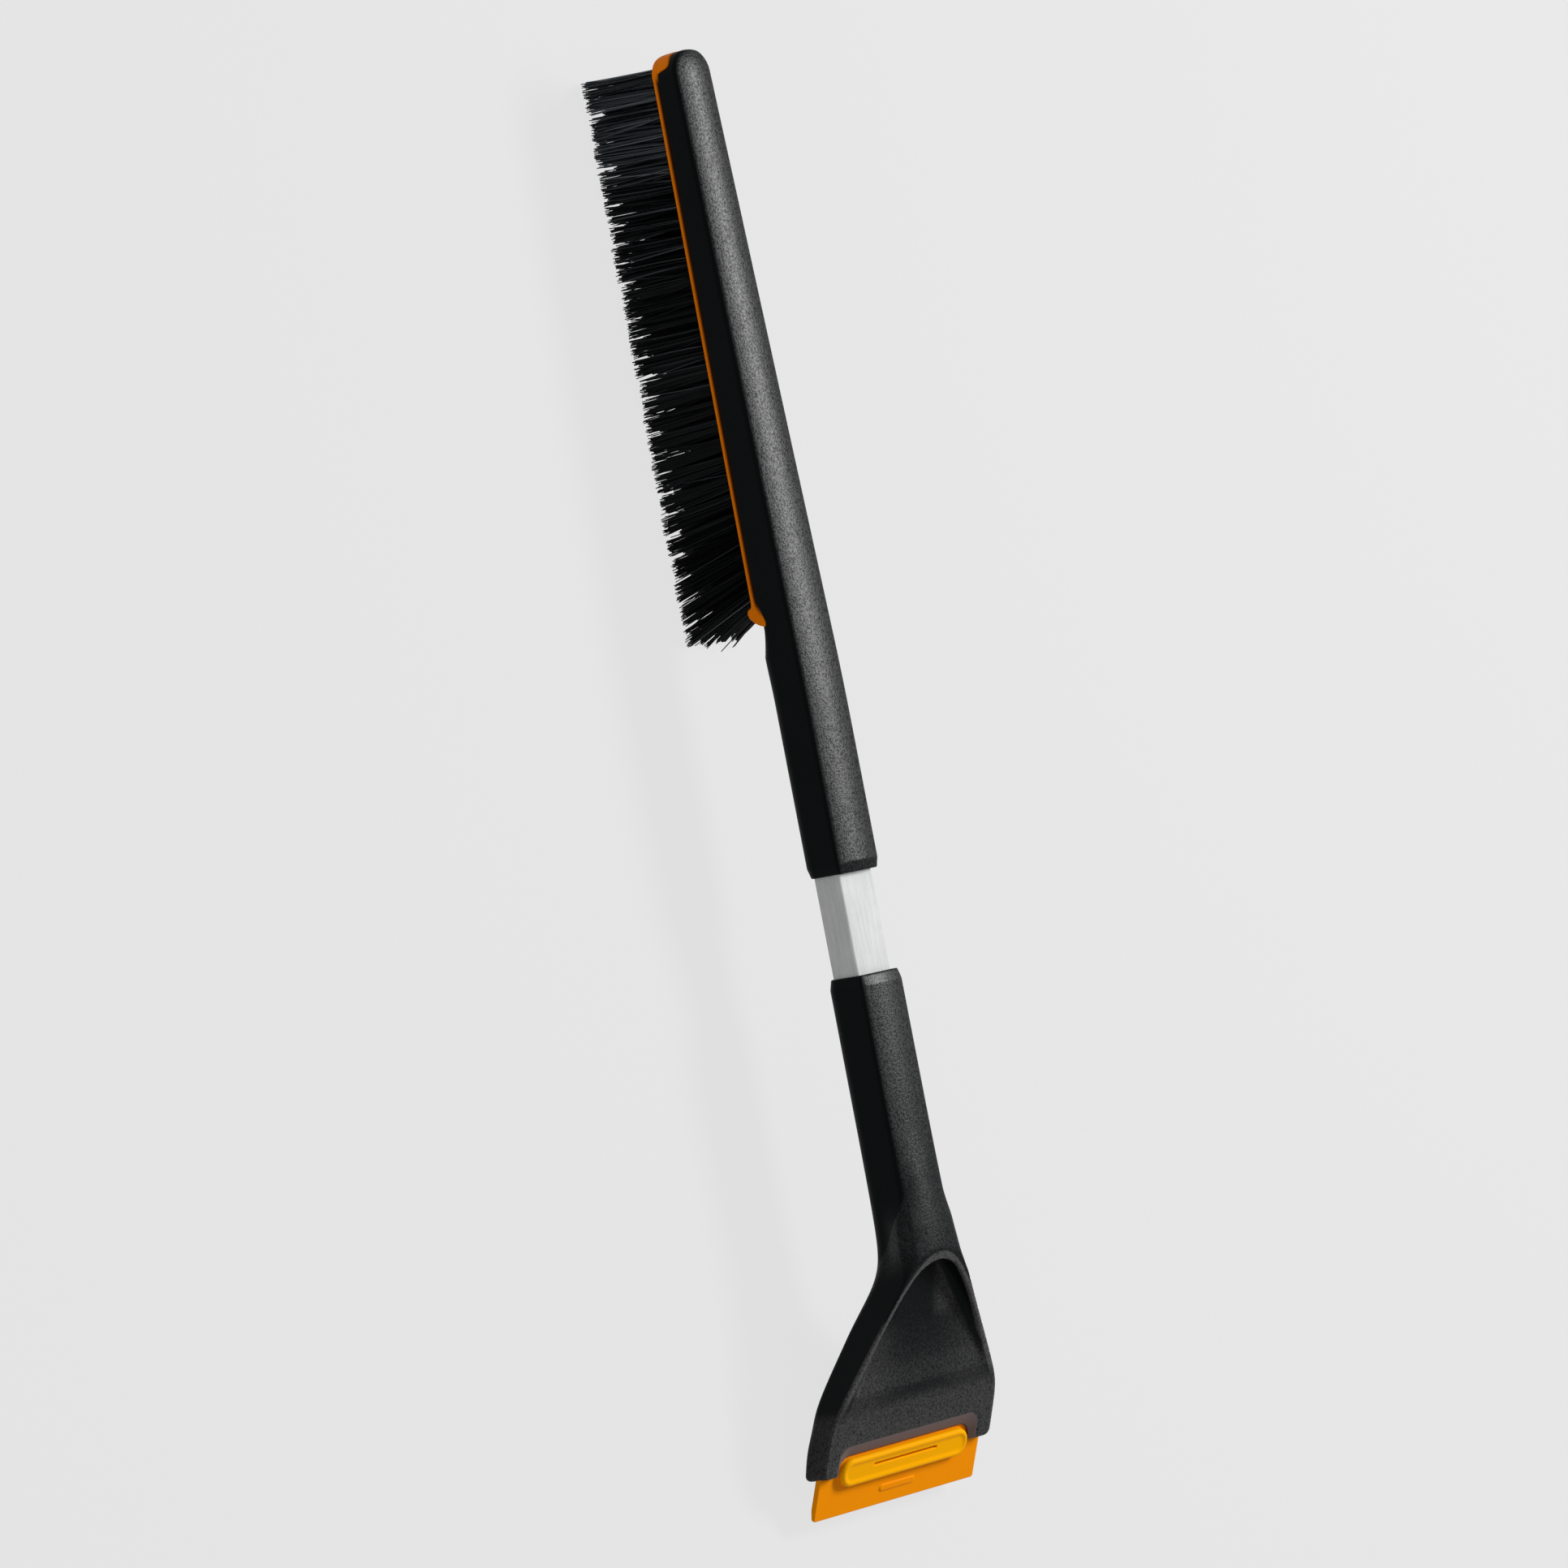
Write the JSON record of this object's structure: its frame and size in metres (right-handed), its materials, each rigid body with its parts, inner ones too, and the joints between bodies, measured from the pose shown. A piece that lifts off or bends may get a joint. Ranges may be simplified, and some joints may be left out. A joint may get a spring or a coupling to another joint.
{
  "type": "snow brush with ice scraper",
  "caption": "Long snow brush with a bristle bar under its back, a bare metal tube between two moulded grips, and a flared scraper head that holds a slide-in blade.",
  "frame": {"origin": "middle of the bounding box in plan, at the level of the lowest bristle tips", "axes": "+X along the tube toward the brush's round nose, +Z away from the bristles, +Y to the left when looking along +X"},
  "size_m": [0.6378, 0.106, 0.069],
  "materials": {
    "black_plastic": "fine spark-eroded texture",
    "orange_plastic": "satin",
    "bristle": "smooth filament",
    "tube": "brushed",
    "steel": "plated"
  },
  "bodies": {
    "tool": {"brush_body": "black_plastic", "bristle_carrier": "orange_plastic", "bristle_row_1": "bristle", "bristle_row_2": "bristle", "bristle_row_3": "bristle", "bristle_row_4": "bristle", "tuft_anchors": "steel", "shaft_tube": "tube", "upper_screw": "steel", "lower_screw": "steel", "scraper_handle": "black_plastic"},
    "blade": {"scraper_blade": "orange_plastic"}
  },
  "joints": [
    {"name": "blade_pull", "type": "slide", "parent": "tool", "child": "blade", "axis": [-0.8949, 0, -0.4462], "range_m": [0, 0.02]}
  ]
}
